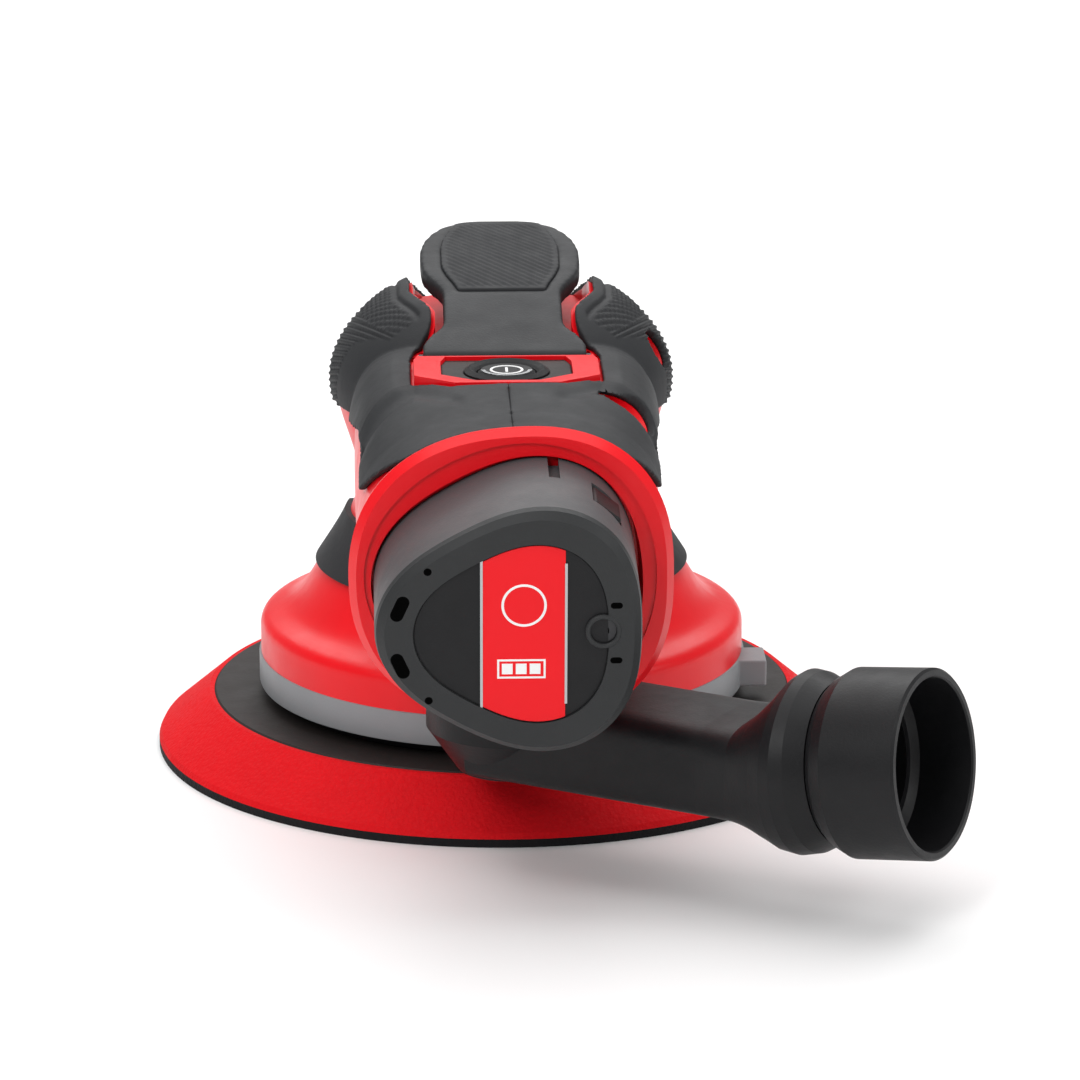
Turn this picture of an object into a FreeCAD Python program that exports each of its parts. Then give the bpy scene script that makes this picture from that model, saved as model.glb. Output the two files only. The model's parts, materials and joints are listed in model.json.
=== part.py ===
import FreeCAD, Part
import math
import os
import re

import Sketcher

# A cordless random orbital palm sander for 150 mm discs.
# +Z is up, +Y is the nose, -Y the battery end, +X the right-hand side seen from behind.
# The origin is on the spindle's axis, at the level of the pad's sanding face.

Vector = FreeCAD.Vector
document = FreeCAD.newDocument("sander")

# name, value in millimetres or degrees, what it is
DIMENSIONS = [
    ("pad_radius", 75, "rim of the sanding pad"),
    ("orbit_offset", 2.5, "eccentricity of the pad, for a 5 mm orbit"),
    ("hook_thickness", 1.8, "hook layer under the foam"),
    ("foam_top", 12.0, "top of the foam"),
    ("plate_radius", 62.8, "backing plate let into the foam"),
    ("plate_thickness", 3.0, "backing plate"),
    ("plate_top", 12.3, "upper face of the backing plate"),
    ("dust_hole_radius", 4.5, "dust holes through the pad"),
    ("dust_ring_outer", 42, "pitch radius of the outer dust holes"),
    ("dust_ring_inner", 24, "pitch radius of the inner dust holes"),
    ("pad_screw_pitch", 10, "pitch radius of the three pad screws"),
    ("hub_radius", 16, "flange of the pad hub"),
    ("hub_stem_radius", 5.95, "stem of the pad hub, in the pad bearing"),
    ("hub_top", 25, "top of the pad hub's stem"),
    ("pad_bearing_radius", 13, "outer race of the pad bearing"),
    ("pad_bearing_bore", 6.0, "bore of the pad bearing"),
    ("pad_bearing_low", 15.8, "lower face of the pad bearing"),
    ("pad_bearing_high", 24.8, "upper face of the pad bearing"),
    ("shroud_radius", 52.8, "outside of the grey shroud"),
    ("shroud_low", 15, "lower edge of the shroud"),
    ("shroud_high", 21.8, "upper edge of the shroud, where the housing stands on it"),
    ("wall", 2.6, "wall of the red housing"),
    ("grip_thickness", 1.5, "charcoal overmould on the housing"),
    ("skirt_radius", 52.4, "lower edge of the red skirt"),
    ("shoulder_radius", 48.2, "skirt's rounded shoulder"),
    ("shoulder_height", 31.2, "height of the skirt's shoulder"),
    ("flare_radius", 39.6, "middle of the skirt's slope"),
    ("flare_height", 41, "height of the middle of the slope"),
    ("waist_radius", 30.8, "motor housing at the waist"),
    ("waist_height", 60, "height of the waist"),
    ("head_radius", 35.2, "palm head at its widest"),
    ("head_height", 85, "height of the head's widest place"),
    ("crown_radius", 22.5, "edge of the palm crown"),
    ("crown_height", 100, "height of the edge of the crown"),
    ("head_top", 103.5, "top of the palm head"),
    ("collar_plane", -104, "rear face of the battery collar"),
    ("collar_length", 9, "length of the collar's flange"),
    ("collar_centre", 67.6, "height of the collar's centre"),
    ("collar_radius", 32.3, "outside of the collar"),
    ("collar_seam_radius", 29.0, "where the collar meets its liner"),
    ("mouth_depth", 8, "depth of the liner's mouth in the collar"),
    ("neck_radius", 30.6, "neck behind the palm head"),
    ("chute_gap", 37.8, "lowest level of the collar, above the dust chute"),
    ("battery_tilt", 5, "battery axis, pointing down towards the rear"),
    ("battery_centre", 66.2, "height of the battery's axis in the collar's plane"),
    ("foot_radius", 26.0, "battery foot"),
    ("foot_length", 27, "battery foot outside the collar's plane"),
    ("stem_radius", 21.6, "battery stem"),
    ("stem_length", 43, "battery stem inside the collar's plane"),
    ("shoulder_depth", 4, "shoulder between foot and stem, inside the collar's plane"),
    ("cell_radius", 9.1, "lithium cell"),
    ("cell_length", 65, "lithium cell"),
    ("lever_half", 17.2, "half of the paddle's widest place"),
    ("lever_neck", 12.6, "half of the paddle's neck"),
    ("lever_rear", -33.6, "rear end of the paddle"),
    ("lever_front", 31.5, "front end of the paddle"),
    ("lever_thickness", 4.2, "paddle"),
    ("pin_y", -30.6, "paddle's hinge pin"),
    ("pin_z", 93.2, "paddle's hinge pin"),
    ("pin_radius", 1.5, "paddle's hinge pin"),
    ("plunger_y", 15, "paddle's plunger and the start switch under it"),
    ("well_floor", 94, "floor of the well under the paddle"),
    ("panel_y", -45.2, "centre of the button panel"),
    ("panel_half_width", 19.2, "half of the button frame"),
    ("panel_half_length", 11.6, "half of the button frame"),
    ("panel_low", 88.5, "underside of the button frame"),
    ("panel_high", 95.4, "top of the button frame"),
    ("bezel_radius", 8.8, "round bezel of the power button"),
    ("button_radius", 6.0, "power button"),
    ("pivot_y", -72, "swivel axis of the dust chute"),
    ("chute_angle", -31, "chute's direction from +X, at rest"),
    ("duct_half_width", 14, "half of the chute's duct"),
    ("duct_low", 17.9, "underside of the duct"),
    ("duct_high", 37.1, "top of the duct"),
    ("duct_wall", 1.8, "wall of the duct"),
    ("bell_radius", 18.7, "round bell of the chute"),
    ("bell_distance", 68.5, "bell's widest place from the swivel axis"),
    ("bell_height", 29.6, "height of the bell's centre"),
    ("groove_distance", 75.4, "end of the bell, at the groove before the cuff"),
    ("groove_radius", 16.3, "radius in the groove"),
    ("cuff_tilt", 8, "upward tilt of the cuff's axis"),
    ("cuff_length", 20.8, "hose cuff"),
    ("cuff_radius", 19.1, "outside of the hose cuff"),
    ("cuff_bore", 17.2, "bore of the hose cuff"),
    ("spigot_radius", 14.9, "chute's spigot, inside the cuff"),
    ("outlet_radius", 12.2, "outside of the outlet's downward spigot"),
    ("motor_radius", 25.5, "motor's stator"),
    ("rotor_radius", 14.6, "motor's rotor"),
    ("shaft_radius", 4.0, "motor shaft"),
    ("motor_low", 50, "lower end of the stator"),
    ("motor_high", 76, "upper end of the stator"),
    ("shaft_low", 26.5, "lower end of the motor shaft, in the fan's hub"),
    ("carrier_low", 42, "lower face of the plate that carries the lower bearing"),
    ("carrier_high", 48, "top of the lower bearing and of its seat"),
    ("lower_race", 12, "outer race of the lower bearing"),
    ("upper_race", 9, "outer race of the upper bearing"),
    ("fan_radius", 41, "rim of the dust fan"),
    ("fan_blade_radius", 40, "outer ends of the fan's blades"),
    ("fan_blade_low", 22.8, "lower edge of the fan's blades"),
    ("fan_disc_low", 28.5, "underside of the fan's disc"),
    ("fan_hub_radius", 18, "eccentric hub in the middle of the fan"),
    ("fan_hub_high", 38, "top of the eccentric hub"),
    ("weight_radius", 31, "counterweight on the fan"),
    ("skirt_height", 27.5, "top of the skirt's upright band"),
    ("outlet_half", 13, "half of the dust outlet's width"),
    ("outlet_low", 38.4, "underside of the dust outlet's run"),
    ("outlet_high", 44.6, "top of the dust outlet's run"),
    ("drum_radius", 17.4, "round end of the chute, about the swivel axis"),
    ("drum_low", 27, "height where the drum starts to narrow downwards"),
]

sheet = document.addObject("Spreadsheet::Sheet", "Sizes")
for row, (alias, value, meaning) in enumerate(DIMENSIONS, start=1):
    sheet.set(f"A{row}", meaning)
    sheet.set(f"B{row}", str(value))
    sheet.setAlias(f"B{row}", alias)
document.recompute()


def size(alias):
    """A dimension's value, read from the sheet."""
    return float(getattr(sheet, alias))


def formula(text):
    """An expression for setExpression, with each alias pointed at the sheet."""
    return re.sub(r"[a-z][a-z_]+", lambda word: "Sizes." + word.group(), text)


def keep(thing, label):
    """Mark a document object as the sub-part that is written to LABEL.step."""
    thing.Label = label
    subparts.append(thing)
    return thing


subparts = []


# ---------------------------------------------------------------- PartDesign helpers

def origin_feature(body, role):
    for feature in body.Origin.OriginFeatures:
        if feature.Role == role:
            return feature
    raise ValueError(role)


def new_sketch(body, plane, name):
    sketch = body.newObject("Sketcher::SketchObject", name)
    sketch.AttachmentSupport = [(origin_feature(body, plane), "")]
    sketch.MapMode = "FlatFace"
    return sketch


def bind(sketch, constraint, expression):
    index = sketch.addConstraint(constraint)
    sketch.setExpression(f"Constraints[{index}]", formula(expression))


def closed_profile(sketch, corners):
    """A closed polygon whose corners are bound to pairs of expressions."""
    count = len(corners)
    start_size = 20
    points = []
    for number in range(count):
        turn = 2 * math.pi * number / count
        points.append(Vector(30 + start_size * math.cos(turn), 30 + start_size * math.sin(turn), 0))
    for number in range(count):
        sketch.addGeometry(Part.LineSegment(points[number], points[(number + 1) % count]), False)
    for number in range(count):
        sketch.addConstraint(Sketcher.Constraint("Coincident", number, 2, (number + 1) % count, 1))
    for number, (across, up) in enumerate(corners):
        place = points[number]
        bind(sketch, Sketcher.Constraint("DistanceX", -1, 1, number, 1, place.x), across)
        bind(sketch, Sketcher.Constraint("DistanceY", -1, 1, number, 1, place.y), up)


def turned(label, corners):
    """A body revolved about its own Z axis from corners given as (radius, height)."""
    body = document.addObject("PartDesign::Body", label)
    sketch = new_sketch(body, "XZ_Plane", label + "_profile")
    closed_profile(sketch, corners)
    revolution = body.newObject("PartDesign::Revolution", label + "_turn")
    revolution.Profile = sketch
    revolution.ReferenceAxis = (sketch, ["V_Axis"])
    revolution.Angle = 360
    document.recompute()
    return keep(body, label)


def hole_ring(body, pitch, radius, count):
    """Holes through a turned body, on a circle about its axis."""
    before = body.Shape.Volume
    sketch = new_sketch(body, "XY_Plane", f"{body.Name}_hole_{pitch}")
    sketch.addGeometry(Part.Circle(Vector(10, 0, 0), Vector(0, 0, 1), 2), False)
    sketch.addConstraint(Sketcher.Constraint("PointOnObject", 0, 3, -1))
    bind(sketch, Sketcher.Constraint("DistanceX", -1, 1, 0, 3, 10), pitch)
    bind(sketch, Sketcher.Constraint("Radius", 0, 2), radius)
    pocket = body.newObject("PartDesign::Pocket", f"{body.Name}_pocket_{pitch}")
    pocket.Profile = sketch
    pocket.Type = "ThroughAll"
    pocket.SideType = "Symmetric"
    pattern = body.newObject("PartDesign::PolarPattern", f"{body.Name}_ring_{pitch}")
    pattern.Originals = [pocket]
    pattern.Axis = (origin_feature(body, "Z_Axis"), [""])
    pattern.Angle = 360
    pattern.Occurrences = count
    body.Tip = pattern
    document.recompute()
    if body.Shape.Volume > before - 1:
        raise ValueError(body.Name + ": the holes cut nothing")


def placed(thing, x="0", y="0", z="0"):
    """Bind a sub-part's place to expressions."""
    for axis, expression in (("x", x), ("y", y), ("z", z)):
        thing.setExpression(f".Placement.Base.{axis}", formula(expression))
    return thing


# ---------------------------------------------------------------- Part helpers

def feature(label, shape, placement=None):
    """A sub-part whose shape is made by the functions below."""
    thing = document.addObject("Part::Feature", label)
    thing.Shape = shape
    if placement is not None:
        thing.Placement = placement
    return keep(thing, label)


def block(low, high):
    """An axis-aligned solid between two corners."""
    return Part.makeBox(high[0] - low[0], high[1] - low[1], high[2] - low[2], Vector(*low))


def prism_x(outline, half_width):
    """Extrude an outline of (y, z) points along X, half to each side."""
    points = [Vector(-half_width, y, z) for y, z in outline]
    face = Part.Face(Part.makePolygon(points + points[:1]))
    return face.extrude(Vector(2 * half_width, 0, 0))


def prism_z(outline, low, high):
    """Extrude an outline of (x, y) points from one height to another."""
    points = [Vector(x, y, low) for x, y in outline]
    face = Part.Face(Part.makePolygon(points + points[:1]))
    return face.extrude(Vector(0, 0, high - low))


def smooth_loop(points):
    """A closed smooth wire through points."""
    curve = Part.BSplineCurve()
    curve.interpolate(Points=points, PeriodicFlag=True)
    return Part.Wire([curve.toShape()])


def lobed_points(radius, lobing, squash, power=2, lower_power=None, count=32):
    """A rounded triangle with its apex at -X, squarer with more power: (x, y) points."""
    outline = []
    for number in range(count):
        turn = 2 * math.pi * number / count
        cosine = math.cos(turn)
        sine = math.sin(turn)
        bend = power if sine > 0 or lower_power is None else lower_power
        square = (abs(cosine) ** bend + abs(sine) ** bend) ** (-1 / bend)
        reach = radius * square * (1 - lobing * math.cos(3 * turn))
        outline.append((reach * cosine, reach * sine * squash))
    return outline


# ---------------------------------------------------------------- pad

def make_pad():
    hook = turned("hook_layer", [
        ("0", "0"),
        ("pad_radius", "0"),
        ("pad_radius", "hook_thickness"),
        ("0", "hook_thickness"),
    ])
    foam = turned("foam_cushion", [
        ("0", "hook_thickness"),
        ("pad_radius", "hook_thickness"),
        ("pad_radius - 0.6", "hook_thickness + 1.2"),
        ("plate_radius + 1", "foam_top"),
        ("plate_radius", "foam_top"),
        ("plate_radius", "plate_top - plate_thickness"),
        ("0", "plate_top - plate_thickness"),
    ])
    plate = turned("backing_plate", [
        ("0", "plate_top - plate_thickness"),
        ("plate_radius", "plate_top - plate_thickness"),
        ("plate_radius", "plate_top - 0.4"),
        ("plate_radius - 0.4", "plate_top"),
        ("0", "plate_top"),
    ])
    for layer in (hook, foam, plate):
        hole_ring(layer, "dust_ring_outer", "dust_hole_radius", 8)
        hole_ring(layer, "dust_ring_inner", "dust_hole_radius", 6)
        placed(layer, y="orbit_offset")
    for layer, radius in ((hook, "3.6"), (foam, "3.6"), (plate, "2.2")):
        hole_ring(layer, "pad_screw_pitch", radius, 3)

    hub = turned("pad_hub", [
        ("0", "plate_top"),
        ("hub_radius", "plate_top"),
        ("hub_radius", "plate_top + 2"),
        ("hub_stem_radius + 1.5", "plate_top + 2"),
        ("hub_stem_radius + 1.5", "pad_bearing_low - 0.3"),
        ("hub_stem_radius", "pad_bearing_low - 0.3"),
        ("hub_stem_radius", "hub_top"),
        ("0", "hub_top"),
    ])
    hole_ring(hub, "pad_screw_pitch", "2.0", 3)
    placed(hub, y="orbit_offset")

    screws = []
    for number in range(3):
        turn = math.radians(120 * number)
        head = Part.makeCylinder(3.2, 2.2, Vector(0, 0, size("plate_top") - size("plate_thickness") - 2.2))
        shank = Part.makeCylinder(2.0, 5.0, Vector(0, 0, size("plate_top") - size("plate_thickness")))
        screw = head.fuse(shank).removeSplitter()
        pitch = size("pad_screw_pitch")
        screw.translate(Vector(pitch * math.cos(turn), pitch * math.sin(turn) + size("orbit_offset"), 0))
        screws.append(screw)
    feature("pad_screws", Part.makeCompound(screws))


# ---------------------------------------------------------------- spindle and motor

def make_drive():
    turned("motor_shaft", [
        ("0", "shaft_low"),
        ("shaft_radius", "shaft_low"),
        ("shaft_radius", "motor_high + 11"),
        ("0", "motor_high + 11"),
    ])
    turned("rotor", [
        ("shaft_radius", "motor_low + 1"),
        ("rotor_radius", "motor_low + 1"),
        ("rotor_radius", "motor_high - 1"),
        ("shaft_radius", "motor_high - 1"),
    ])
    turned("stator", [
        ("rotor_radius + 0.5", "motor_low"),
        ("motor_radius", "motor_low"),
        ("motor_radius", "motor_high"),
        ("rotor_radius + 0.5", "motor_high"),
    ])
    for label, low, high, outside in (
        ("upper_bearing", "motor_high + 3", "motor_high + 10", "upper_race"),
        ("lower_bearing", "carrier_low", "carrier_high", "lower_race"),
    ):
        turned(label, [
            ("shaft_radius + 0.05", low),
            (outside, low),
            (outside, high),
            ("shaft_radius + 0.05", high),
        ])
    turned("bearing_plate", [
        ("lower_race", "carrier_low"),
        ("flare_radius - wall - 3.6", "carrier_low"),
        ("flare_radius - wall - 3.6", "carrier_low + 2"),
        ("lower_race + 3", "carrier_low + 2"),
        ("lower_race + 3", "carrier_high"),
        ("lower_race", "carrier_high"),
    ])

    bearing = turned("pad_bearing", [
        ("pad_bearing_bore", "pad_bearing_low"),
        ("pad_bearing_radius", "pad_bearing_low"),
        ("pad_bearing_radius", "pad_bearing_high"),
        ("pad_bearing_bore", "pad_bearing_high"),
    ])
    placed(bearing, y="orbit_offset")

    # fan, eccentric hub and counterweight in one casting
    hub_low = size("pad_bearing_low")
    hub_radius = size("fan_hub_radius")
    disc_low = size("fan_disc_low")
    disc_high = disc_low + 2
    orbit = size("orbit_offset")
    blade_count = 9
    half_blade = 1
    axis = Vector(0, 0, 1)
    fan = Part.makeCylinder(hub_radius, size("fan_hub_high") - hub_low, Vector(0, 0, hub_low))
    fan = fan.fuse(Part.makeCylinder(size("fan_radius"), disc_high - disc_low, Vector(0, 0, disc_low)))
    for number in range(blade_count):
        blade = block((hub_radius - 1, -half_blade, size("fan_blade_low")),
                      (size("fan_blade_radius"), half_blade, disc_low + 0.1))
        blade.rotate(Vector(0, 0, 0), axis, 360 * number / blade_count)
        fan = fan.fuse(blade)
    weight_angle = 130
    weight = Part.makeCylinder(size("weight_radius"), 4.5, Vector(0, 0, disc_high - 0.1), axis, weight_angle)
    weight.rotate(Vector(0, 0, 0), axis, 270 - weight_angle / 2)
    fan = fan.fuse(weight)
    seat_top = size("pad_bearing_high") + 0.2
    seat_low = hub_low - 0.8
    seat = Part.makeCylinder(size("pad_bearing_radius"), seat_top - seat_low, Vector(0, orbit, seat_low))
    relief = Part.makeCylinder(8, seat_top + 1.5 - size("pad_bearing_high"),
                               Vector(0, orbit, size("pad_bearing_high") - 0.3))
    bore = Part.makeCylinder(size("shaft_radius"), 30, Vector(0, 0, size("shaft_low")))
    fan = fan.cut(seat).cut(relief).cut(bore).removeSplitter()
    feature("eccentric_fan", fan)


# ---------------------------------------------------------------- housing

def head_solid(grow):
    """The palm head, waist and skirt, with every surface moved out by grow."""
    skirt = size("skirt_radius") + grow
    low = size("shroud_high")
    top = size("head_top") + grow
    curve = Part.BSplineCurve()
    outline = [
        Vector(skirt, 0, size("skirt_height")),
        Vector(size("shoulder_radius") + grow, 0, size("shoulder_height") + 0.5 * grow),
        Vector(size("flare_radius") + 0.7 * grow, 0, size("flare_height") + 0.7 * grow),
        Vector(size("waist_radius") + grow, 0, size("waist_height")),
        Vector(size("head_radius") + grow, 0, size("head_height")),
        Vector(size("crown_radius") + 0.5 * grow, 0, size("crown_height") + grow),
        Vector(0, 0, top),
    ]
    curve.interpolate(Points=outline, InitialTangent=Vector(0, 0, 1), FinalTangent=Vector(-1, 0, 0))
    edges = [
        curve.toShape(),
        Part.makeLine(Vector(0, 0, top), Vector(0, 0, low)),
        Part.makeLine(Vector(0, 0, low), Vector(skirt, 0, low)),
        Part.makeLine(Vector(skirt, 0, low), Vector(skirt, 0, size("skirt_height"))),
    ]
    face = Part.Face(Part.Wire(edges))
    return face.revolve(Vector(0, 0, 0), Vector(0, 0, 1), 360)


def upright_loop(y, centre, radius, lobing, squash, power=2, lower_power=None):
    """A rounded triangle standing in the plane at y."""
    outline = lobed_points(radius, lobing, squash, power, lower_power)
    return smooth_loop([Vector(across, y, centre + up) for across, up in outline])


def tail_solid(grow, side=1):
    """The neck from inside the head to the collar. Side -1 is its mirror image."""
    neck = size("neck_radius") + grow
    centre = size("collar_centre")
    rear = size("collar_plane") + 4
    sections = [
        upright_loop(-4, 71, neck - 1, 0, 0.78, 3.6, 2.6),
        upright_loop(-28, 70, neck + 0.9, 0.005 * side, 0.79, 3.8, 2.6),
        upright_loop(-54, 69, neck + 0.6, 0.01 * side, 0.81, 3.4, 2.5),
        upright_loop(-80, 67.6, neck, 0.02 * side, 0.85, 2.6, 2.3),
        upright_loop(rear, centre, neck + 0.4, 0.02 * side, 0.87, 2.2),
    ]
    return Part.makeLoft(sections, True, True)


def body_solid(grow, side=1):
    return head_solid(grow).fuse(tail_solid(grow, side))


def lever_outline(grow, early=0):
    """Half widths of the paddle along its length, as a closed outline of (x, y).

    early moves the widening in front of the neck towards the rear, for the well round it.
    """
    wide = size("lever_half") + grow
    neck = size("lever_neck") + grow
    rear = size("lever_rear") - grow
    front = size("lever_front") + grow
    widening = -grow - early
    right = [
        (wide, rear),
        (wide, rear + 4),
        (wide - 1.2, rear + 7 + grow),
        (neck + 0.6, rear + 11 + grow),
        (neck, rear + 13.5 + grow),
        (neck, widening - 8.5),
        (neck + 1.2, widening - 5.5),
        (wide - 1.5, widening - 1.5),
        (wide - 0.2, widening + 2.5),
        (wide, 8),
        (wide, 14),
        (wide - 0.8, 19 + grow / 2),
        (wide - 2.6, 24 + grow / 2),
        (wide - 5.4, front - 3.3),
        (wide - 9, front - 0.8),
        (wide - 12, front),
    ]
    left = [(-x, y) for x, y in reversed(right)]
    return right + left


def panel_outline(half_width, half_length, corner):
    """The hexagonal button frame, with two short corners at the rear."""
    y = size("panel_y")
    right = [
        (half_width - 1, y + half_length),
        (half_width, y + half_length - 4),
        (half_width, y - half_length + corner),
        (half_width - 1.4 * corner, y - half_length),
    ]
    left = [(-x, py) for x, py in reversed(right)]
    return right + left


# cross screws of the clamshell: (y, z)
SCREW_PLACES = [(-60, 89.6), (-8, 89.8), (25, 87), (-38, 50.5)]
# the screws' radii, the side their heads sit at, their length under the head
SCREW_HEAD = 3.0
SCREW_SHANK = 1.5
SCREW_HEAD_X = 15
SCREW_HEAD_HEIGHT = 2.2
SCREW_LENGTH = 27
# radius of the tunnels that the screws are put in through, and of their bosses
SCREW_TUNNEL = 4.2
SCREW_BOSS = 3.6
# clearance in the housing round the paddle's hinge barrel
BARREL_ROOM = 4.4
# how much further back than the paddle the well round it widens
WELL_EARLY = 6
PRINT_THICKNESS = 0.2


def screw_line(radius, low, high):
    """One cylinder along X at each cross screw's place."""
    return [along_x(radius, low, high, y, z) for y, z in SCREW_PLACES]


def battery_placement():
    """Local z points out of the collar along the battery's axis, local y up."""
    rotation = FreeCAD.Rotation(Vector(1, 0, 0), 90 + size("battery_tilt"))
    return FreeCAD.Placement(Vector(0, size("collar_plane"), size("battery_centre")), rotation)


def battery_loft(sections):
    """A solid through (z, radius, lobing) sections in the battery's own frame."""
    wires = []
    for z, radius, lobing in sections:
        wires.append(smooth_loop([Vector(x, y, z) for x, y in lobed_points(radius, lobing, 0.955)]))
    return Part.makeLoft(wires, True, True)


def battery_bay(grow, side=1):
    """The room of the battery's stem, wider by grow all round, in the row's frame."""
    radius = size("stem_radius") + grow
    ends = (-size("stem_length") - 2.4, -size("shoulder_depth"))
    stem = battery_loft([(z, radius, 0.06 * side) for z in ends])
    stem.Placement = battery_placement()
    return stem


def outlet_channel(grow):
    """Outside of the fixed dust outlet, from the fan chamber to the swivel axis."""
    low = size("outlet_low") - grow
    high = size("outlet_high") + grow
    half = size("outlet_half") + grow
    rear = size("pivot_y") - half
    run = block((-half, rear, low), (half, -34, high))
    drop = block((-half, -43, 31 - grow), (half, -34, high))
    return run.fuse(drop)


def collar_solid(side):
    rear = size("collar_plane")
    front = rear + size("collar_length")
    centre = size("collar_centre")
    loops = [
        upright_loop(front + 4, centre, size("neck_radius") + 0.2, 0.02 * side, 0.87, 2.2),
        upright_loop(front, centre - 0.3, size("collar_radius") - 0.4, 0.02 * side, 0.90, 2.3),
        upright_loop(rear + 2.5, centre - 0.6, size("collar_radius"), 0.02 * side, 0.95, 2.35),
        upright_loop(rear, centre - 0.6, size("collar_radius") - 1.5, 0.02 * side, 0.95, 2.35),
    ]
    collar = Part.makeLoft(loops, True, True)
    return collar.cut(block((-60, rear - 1, 0), (60, front + 5, size("chute_gap"))))


def ring(outside, inside, low, height):
    """A flat ring about the spindle's axis."""
    hole = Part.makeCylinder(inside, height, Vector(0, 0, low))
    return Part.makeCylinder(outside, height, Vector(0, 0, low)).cut(hole)


def along_x(radius, low, high, y, z):
    return Part.makeCylinder(radius, high - low, Vector(low, y, z), Vector(1, 0, 0))


def shell_half(side):
    """One red clamshell half. Both are shaped on the +X side, and the left one is mirrored."""
    wall = size("wall")
    outside = body_solid(0, side)
    below = Part.makeCylinder(size("skirt_radius") - wall, 10, Vector(0, 0, size("shroud_high") - 2))
    floor_low = size("well_floor") - 2
    well_block = prism_z(lever_outline(3.6, WELL_EARLY), floor_low, size("head_top") + 10)
    well_block = well_block.common(outside)
    shell = outside.cut(body_solid(-wall, side)).cut(below)
    shell = shell.fuse(well_block).fuse(collar_solid(side))
    bosses = [line.common(outside) for line in screw_line(SCREW_BOSS, -1, SCREW_HEAD_X + 3)]
    rings = [
        ring(40, 9, size("motor_high") + 2.8, 3).common(outside),
        ring(40, size("motor_radius"), size("waist_height"), 3).common(head_solid(0)),
        ring(40, 31, 44, 2).common(head_solid(0)),
    ]
    shell = shell.fuse(bosses + rings)

    # everything that goes through or into the shell
    rear = size("collar_plane")
    bore = upright_loop(rear - 1, size("collar_centre"), size("collar_seam_radius"), 0.03 * side, 0.94)
    well = prism_z(lever_outline(1.8, WELL_EARLY), size("well_floor"), size("head_top") + 12)
    panel = prism_z(
        panel_outline(size("panel_half_width"), size("panel_half_length"), 6),
        size("panel_low"), size("head_top") + 12,
    )
    openings = [
        Part.Face(bore).extrude(Vector(0, size("mouth_depth") + 1, 0)),
        well,
        panel,
        along_x(size("pin_radius"), -1, 20, size("pin_y"), size("pin_z")),
        along_x(BARREL_ROOM, -1, 18, size("pin_y"), size("pin_z")),
        Part.makeCylinder(2.5, 20, Vector(0, size("plunger_y"), 84)),
        Part.makeCylinder(size("motor_radius"), 30, Vector(0, 0, 48.5)),
        outlet_channel(0),
        battery_bay(2.4, side),
    ]
    openings += screw_line(SCREW_SHANK, -1, SCREW_HEAD_X)
    if side > 0:
        openings += screw_line(SCREW_TUNNEL, SCREW_HEAD_X, 60)
    for opening in openings:
        shell = shell.cut(opening)
    half = shell.common(block((0, -200, 0), (100, 200, 200)))
    return max(half.Solids, key=lambda solid: solid.Volume)


def grip_half(side):
    """The charcoal overmould on one clamshell half."""
    grip = body_solid(size("grip_thickness"), side).cut(body_solid(0, side)).cut(collar_solid(side))
    grip = grip.common(prism_x([
        (60, 78.5), (-21, 78.5), (-54, 84.5), (-80, 79), (-95.2, 90), (-95.2, 140), (60, 140),
    ], 60))
    grip = grip.cut(prism_z(lever_outline(2.6, WELL_EARLY), 80, 140))
    grip = grip.cut(prism_z(
        panel_outline(size("panel_half_width") + 0.6, size("panel_half_length") + 0.6, 6), 80, 140))
    if side > 0:
        grip = grip.cut(screw_line(SCREW_TUNNEL, SCREW_HEAD_X, 60))
    half = grip.common(block((0, -200, 0), (100, 200, 200)))
    return max(half.Solids, key=lambda solid: solid.Volume)


def bumper(side):
    """A rubber patch on one side of the waist."""
    patch = head_solid(1.2).cut(head_solid(0)).common(block((20, -26, 42), (60, 8, 53)))
    patch = patch.cut(tail_solid(0, side))
    return max(patch.Solids, key=lambda solid: solid.Volume)


def make_housing():
    for name, side in (("right", 1), ("left", -1)):
        for label, maker in (("housing_", shell_half), ("grip_", grip_half), ("side_bumper_", bumper)):
            shape = maker(side)
            if side < 0:
                shape = shape.mirror(Vector(0, 0, 0), Vector(1, 0, 0))
            feature(label + name, shape)

    screws = []
    for y, z in SCREW_PLACES:
        head = along_x(SCREW_HEAD, SCREW_HEAD_X, SCREW_HEAD_X + SCREW_HEAD_HEIGHT, y, z)
        shank = along_x(SCREW_SHANK, SCREW_HEAD_X - SCREW_LENGTH, SCREW_HEAD_X, y, z)
        screws.append(head.fuse(shank).removeSplitter())
    feature("housing_screws", Part.makeCompound(screws))


def make_liner():
    """Red sleeve that lines the collar and guides the battery's stem."""
    rear = size("collar_plane")
    seam_step = 0.6
    shoulder = -size("shoulder_depth") - 0.6
    mouth = upright_loop(rear + seam_step, size("collar_centre"), size("collar_seam_radius"), 0.03, 0.94)
    mouth = Part.Face(mouth).extrude(Vector(0, size("mouth_depth") - seam_step, 0))
    opening = battery_loft([(3, 27.4, 0.045), (shoulder, 26.5, 0.07)])
    opening.Placement = battery_placement()
    sleeve = battery_loft([(shoulder - 1, 23.6, 0.06), (-40, 23.6, 0.06)])
    lower_end = battery_loft([(-40, 23.6, 0.06), (-44, 23.6, 0.06)])
    sleeve = sleeve.fuse(lower_end.common(block((-30, -30, -50), (30, 5, -30))))
    sleeve.Placement = battery_placement()
    liner = mouth.fuse(sleeve).cut(opening).cut(battery_bay(0.4)).cut(outlet_channel(0))
    liner = liner.cut(block((-40, rear, 0), (40, rear + 30, size("chute_gap") + 0.5)))
    feature("battery_liner", max(liner.Solids, key=lambda solid: solid.Volume))


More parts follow.
